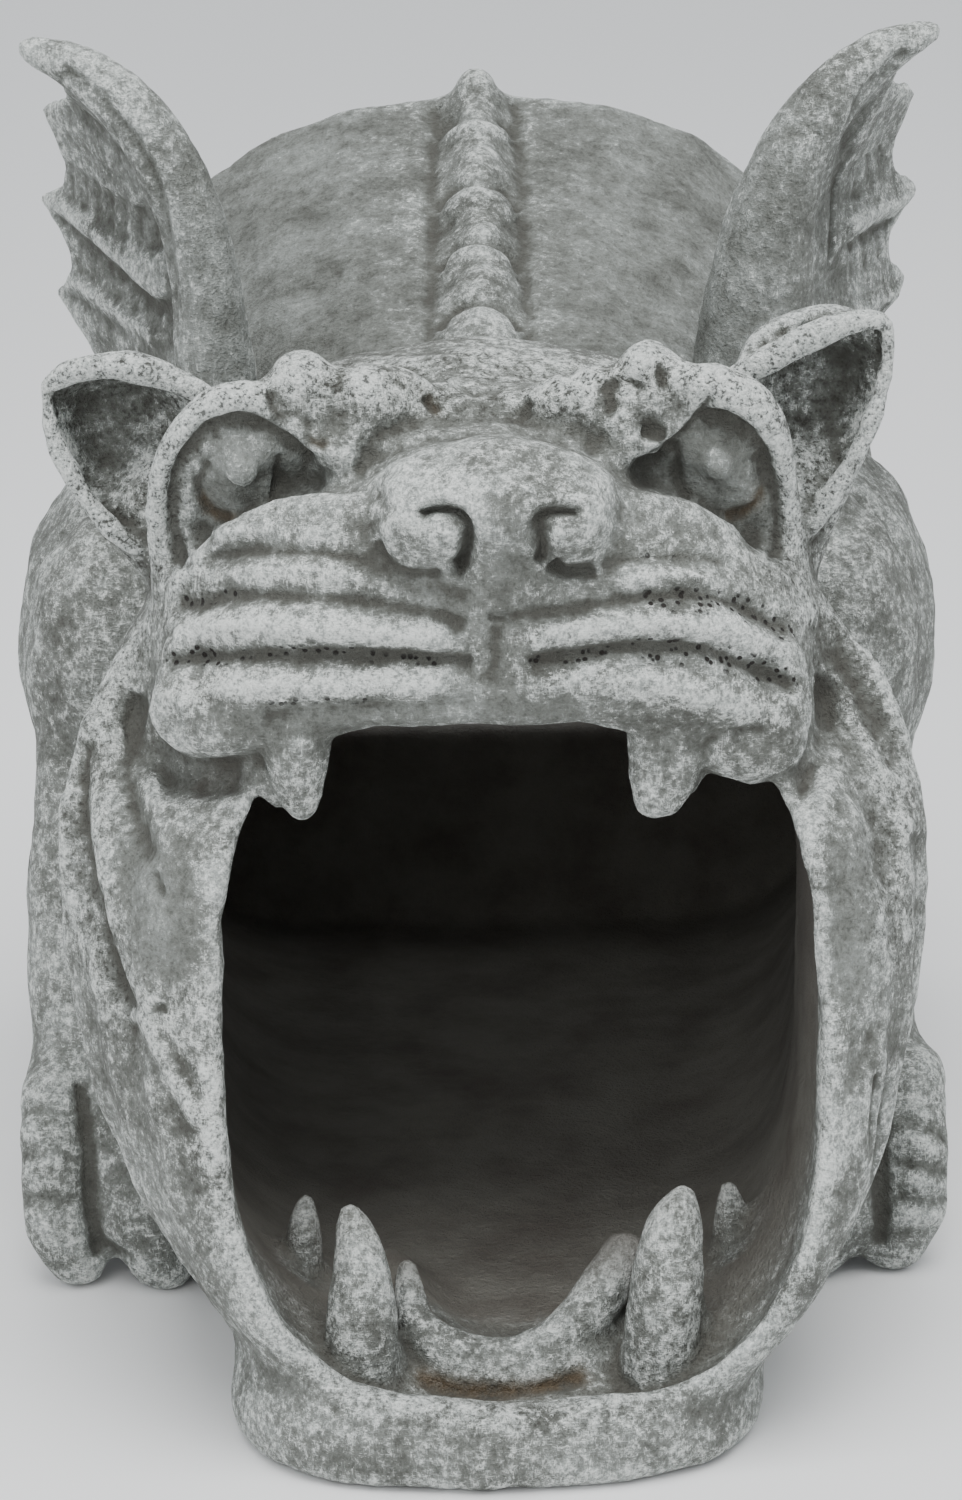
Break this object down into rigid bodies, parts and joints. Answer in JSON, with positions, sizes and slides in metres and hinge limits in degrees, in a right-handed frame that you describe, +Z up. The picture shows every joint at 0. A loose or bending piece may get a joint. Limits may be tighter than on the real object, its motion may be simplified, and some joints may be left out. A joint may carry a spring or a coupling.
{
  "type": "garden statue",
  "caption": "Crouching winged gargoyle of cast stone, hollow, with a gaping fanged mouth that lets out rainwater from a downspout.",
  "frame": {"origin": "on the ground, under the middle of the statue's outer box", "axes": "+Z up, the face and mouth towards -Y, the flat rear face towards +Y, +X to the statue's own left"},
  "size_m": [0.2312, 0.33, 0.283],
  "materials": {
    "cast_stone": "rough cast stone, weathered grey with paler rubbed ridges and darker hollows"
  },
  "bodies": {
    "root": {"gargoyle": "cast_stone"}
  },
  "joints": []
}
